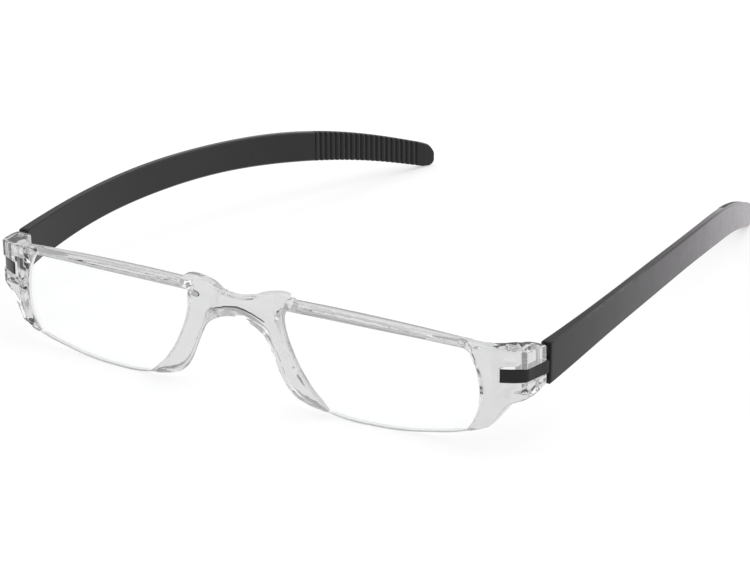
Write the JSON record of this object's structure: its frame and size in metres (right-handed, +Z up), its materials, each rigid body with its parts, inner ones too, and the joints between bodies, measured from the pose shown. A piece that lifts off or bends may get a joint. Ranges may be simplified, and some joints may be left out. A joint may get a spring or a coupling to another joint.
{
  "type": "folding reading glasses",
  "caption": "Slim reading glasses: clear moulded front with clear lenses and dark temples that fold inward on pin hinges and end in ribbed tips.",
  "frame": {"origin": "middle of the footprint of the open glasses on the table they stand on: on the symmetry plane, midway between the front and the temple tips, at table level", "axes": "+Z up, +Y back along the open temples, +X to the right as seen from in front of the glasses"},
  "size_m": [0.1328, 0.154, 0.0247],
  "materials": {
    "clear_frame": "clear, polished",
    "clear_lens": "clear, polished",
    "pin_steel": "plain",
    "dark_plastic": "satin",
    "dark_grip": "satin, ribbed"
  },
  "bodies": {
    "front": {"front_frame": "clear_frame", "lens_left": "clear_lens", "lens_right": "clear_lens", "hinge_pin_left": "pin_steel", "hinge_pin_right": "pin_steel"},
    "temple_left": {"temple_left": "dark_plastic", "grip_left": "dark_grip"},
    "temple_right": {"temple_right": "dark_plastic", "grip_right": "dark_grip"}
  },
  "joints": [
    {"name": "temple_left_fold", "type": "hinge", "parent": "front", "child": "temple_left", "pos_m": [-0.0633, -0.06483, 0.0162], "axis": [0, 0, -1], "range_deg": [0, 83]},
    {"name": "temple_right_fold", "type": "hinge", "parent": "front", "child": "temple_right", "pos_m": [0.0633, -0.06483, 0.0162], "axis": [0, 0, 1], "range_deg": [0, 72]}
  ]
}
